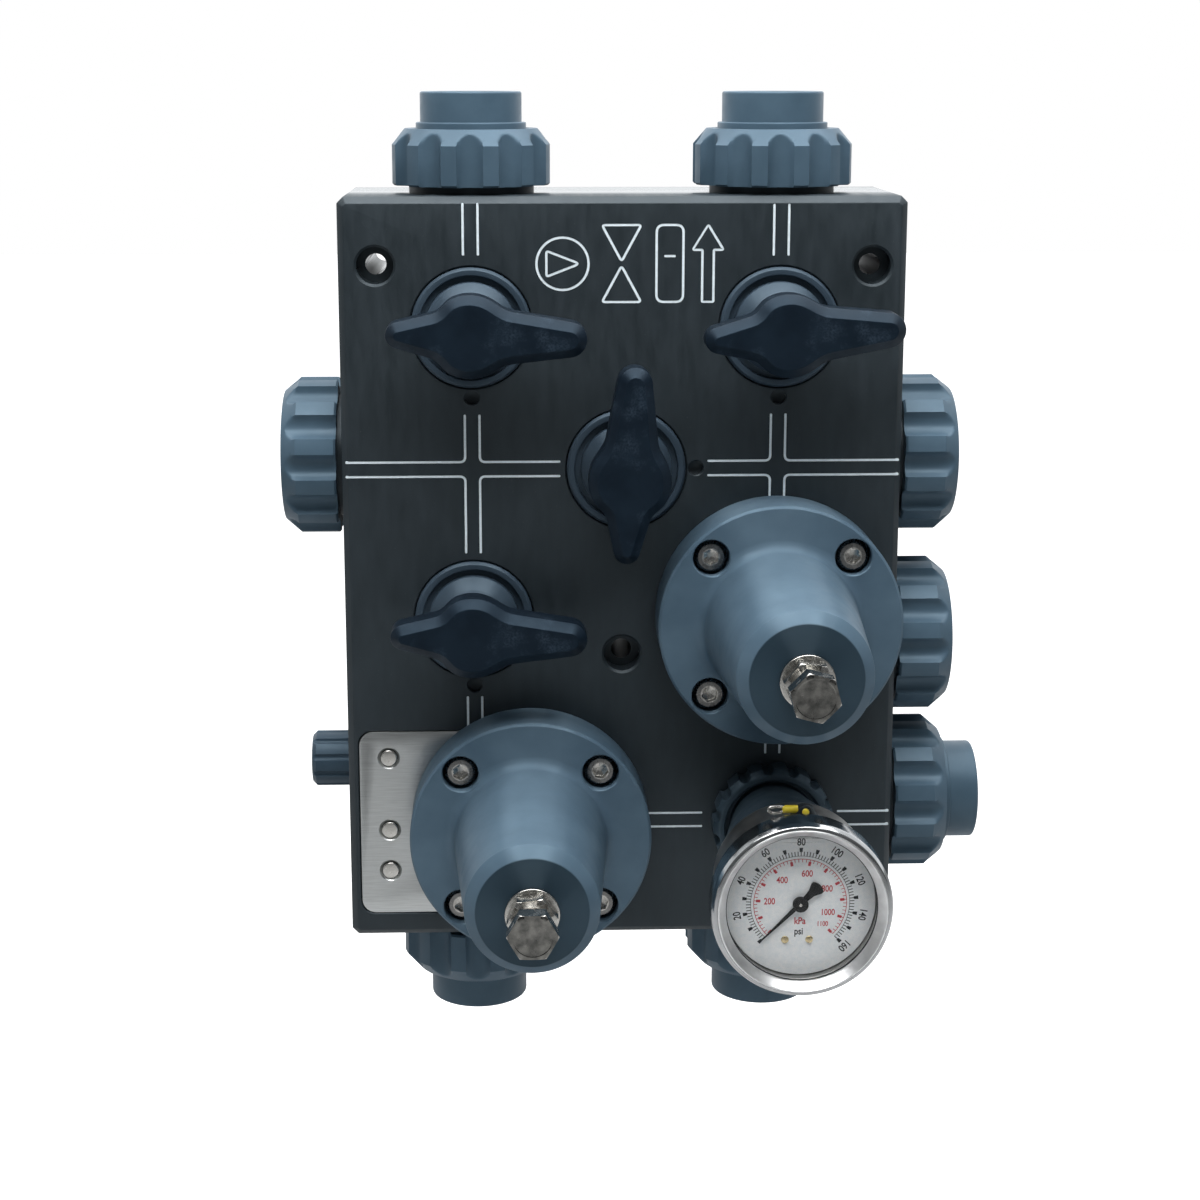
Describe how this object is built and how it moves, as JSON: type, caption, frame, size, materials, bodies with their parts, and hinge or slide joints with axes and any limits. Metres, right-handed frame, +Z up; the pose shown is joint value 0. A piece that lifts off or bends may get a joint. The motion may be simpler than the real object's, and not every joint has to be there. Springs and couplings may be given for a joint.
{
  "type": "multiport valve",
  "caption": "Machined plastic valve block with two-winged ball valve handles, spring-loaded pressure valves, a pressure gauge and union pipe ends.",
  "frame": {"origin": "middle of the block's flat back face, which lies against the panel", "axes": "+X to the right and +Z up as seen from the front; +Y out of the back face into the panel, so the handles and the gauge face -Y"},
  "size_m": [0.297, 0.2035, 0.395],
  "materials": {
    "block_pvc": "satin",
    "grey_pvc": "satin",
    "union_pvc": "satin",
    "handle_plastic": "satin",
    "guard_plastic": "satin",
    "bright_steel": "polished",
    "bezel_chrome": "polished",
    "spring_steel": "satin",
    "brushed_steel": "satin",
    "dark_steel": "satin",
    "dial_white": "matte",
    "gauge_glass": "polished",
    "pointer_black": "matte",
    "marking_white": "matte",
    "dial_black_ink": "matte",
    "dial_red_ink": "matte",
    "brass": "satin",
    "vent_rubber": "matte",
    "vent_yellow": "gloss",
    "seal_rubber": "matte"
  },
  "bodies": {
    "block": {"manifold_block": "block_pvc", "name_plate": "brushed_steel", "valve_1_gland": "grey_pvc", "valve_2_gland": "grey_pvc", "valve_3_gland": "grey_pvc", "valve_4_gland": "grey_pvc", "backpressure_bonnet": "grey_pvc", "backpressure_washer": "bright_steel", "backpressure_spring": "spring_steel", "backpressure_cap_screw_1": "dark_steel", "backpressure_cap_screw_2": "dark_steel", "backpressure_cap_screw_3": "dark_steel", "backpressure_cap_screw_4": "dark_steel", "relief_bonnet": "grey_pvc", "relief_washer": "bright_steel", "relief_spring": "spring_steel", "relief_cap_screw_1": "dark_steel", "relief_cap_screw_2": "dark_steel", "relief_cap_screw_3": "dark_steel", "relief_cap_screw_4": "dark_steel", "gauge_guard_nut": "guard_plastic", "gauge_guard_body": "grey_pvc", "gauge_case": "bright_steel", "gauge_bezel": "bezel_chrome", "gauge_dial": "dial_white", "gauge_glass": "gauge_glass", "top_left_union_nut": "union_pvc", "top_left_tailpiece": "union_pvc", "top_right_union_nut": "union_pvc", "top_right_tailpiece": "union_pvc", "bottom_left_union_nut": "union_pvc", "bottom_left_tailpiece": "union_pvc", "bottom_right_union_nut": "union_pvc", "bottom_right_tailpiece": "union_pvc", "right_lower_union_nut": "union_pvc", "right_lower_tailpiece": "union_pvc", "right_middle_union_nut": "union_pvc", "right_middle_blank_disc": "grey_pvc", "right_upper_union_nut": "union_pvc", "right_upper_blank_disc": "grey_pvc", "left_union_nut": "union_pvc", "left_blank_disc": "grey_pvc", "drain_plug": "union_pvc"},
    "valve_1_lever": {"valve_1_handle": "handle_plastic", "valve_1_ball_stem": "grey_pvc"},
    "valve_2_lever": {"valve_2_handle": "handle_plastic", "valve_2_ball_stem": "grey_pvc"},
    "valve_3_lever": {"valve_3_handle": "handle_plastic", "valve_3_ball_stem": "grey_pvc"},
    "valve_4_lever": {"valve_4_handle": "handle_plastic", "valve_4_ball_stem": "grey_pvc"},
    "backpressure_button": {"backpressure_spring_button": "bright_steel"},
    "backpressure_screw": {"backpressure_adjusting_screw": "bright_steel"},
    "backpressure_nut": {"backpressure_lock_nut": "bright_steel"},
    "backpressure_poppet": {"backpressure_piston": "grey_pvc"},
    "relief_button": {"relief_spring_button": "bright_steel"},
    "relief_screw": {"relief_adjusting_screw": "bright_steel"},
    "relief_nut": {"relief_lock_nut": "bright_steel"},
    "relief_poppet": {"relief_piston": "grey_pvc"},
    "pointer": {"gauge_pointer": "pointer_black"}
  },
  "joints": [
    {"name": "valve_1_turn", "type": "hinge", "parent": "block", "child": "valve_1_lever", "pos_m": [-0.0615, -0.104, 0.1039], "axis": [0, -1, 0], "range_deg": [0, 90]},
    {"name": "valve_2_turn", "type": "hinge", "parent": "block", "child": "valve_2_lever", "pos_m": [0.0637, -0.104, 0.1038], "axis": [0, -1, 0], "range_deg": [0, 90]},
    {"name": "valve_3_turn", "type": "hinge", "parent": "block", "child": "valve_3_lever", "pos_m": [0.0015, -0.104, 0.0458], "axis": [0, -1, 0], "range_deg": [0, 90]},
    {"name": "valve_4_turn", "type": "hinge", "parent": "block", "child": "valve_4_lever", "pos_m": [-0.0615, -0.104, -0.0173], "axis": [0, -1, 0], "range_deg": [0, 90]},
    {"name": "backpressure_button_travel", "type": "slide", "parent": "block", "child": "backpressure_button", "axis": [0, -1, 0], "range_m": [-0.0039, 0.0039], "deforming": ["backpressure_spring"]},
    {"name": "backpressure_screw_turn", "type": "hinge", "parent": "backpressure_button", "child": "backpressure_screw", "pos_m": [0.0637, -0.186, -0.0158], "axis": [0, -1, 0], "range_deg": [-936.2, 936.2]},
    {"name": "backpressure_nut_turn", "type": "hinge", "parent": "block", "child": "backpressure_nut", "pos_m": [0.0637, -0.185, -0.0158], "axis": [0, -1, 0], "range_deg": [0, 90]},
    {"name": "backpressure_poppet_lift", "type": "slide", "parent": "block", "child": "backpressure_poppet", "axis": [0, -1, 0], "range_m": [0, 0.003], "stiffness_N_per_m": 4000, "springref_m": -0.01},
    {"name": "relief_button_travel", "type": "slide", "parent": "block", "child": "relief_button", "axis": [0, -1, 0], "range_m": [-0.0039, 0.0039], "deforming": ["relief_spring"]},
    {"name": "relief_screw_turn", "type": "hinge", "parent": "relief_button", "child": "relief_screw", "pos_m": [-0.0386, -0.186, -0.1058], "axis": [0, -1, 0], "range_deg": [-936.2, 936.2]},
    {"name": "relief_nut_turn", "type": "hinge", "parent": "block", "child": "relief_nut", "pos_m": [-0.0386, -0.185, -0.1058], "axis": [0, -1, 0], "range_deg": [0, 90]},
    {"name": "relief_poppet_lift", "type": "slide", "parent": "block", "child": "relief_poppet", "axis": [0, -1, 0], "range_m": [0, 0.003], "stiffness_N_per_m": 4000, "springref_m": -0.01},
    {"name": "pointer_turn", "type": "hinge", "parent": "block", "child": "pointer", "pos_m": [0.0637, -0.1735, -0.1058], "axis": [0, 1, 0], "range_deg": [0, 270], "stiffness_Nm_per_rad": 0.0006, "springref_deg": -22.92}
  ],
  "couplings": [
    {"joint": "backpressure_screw_turn", "follows": "backpressure_button_travel", "rad_per_m": 4188.8},
    {"joint": "relief_screw_turn", "follows": "relief_button_travel", "rad_per_m": 4188.8}
  ]
}
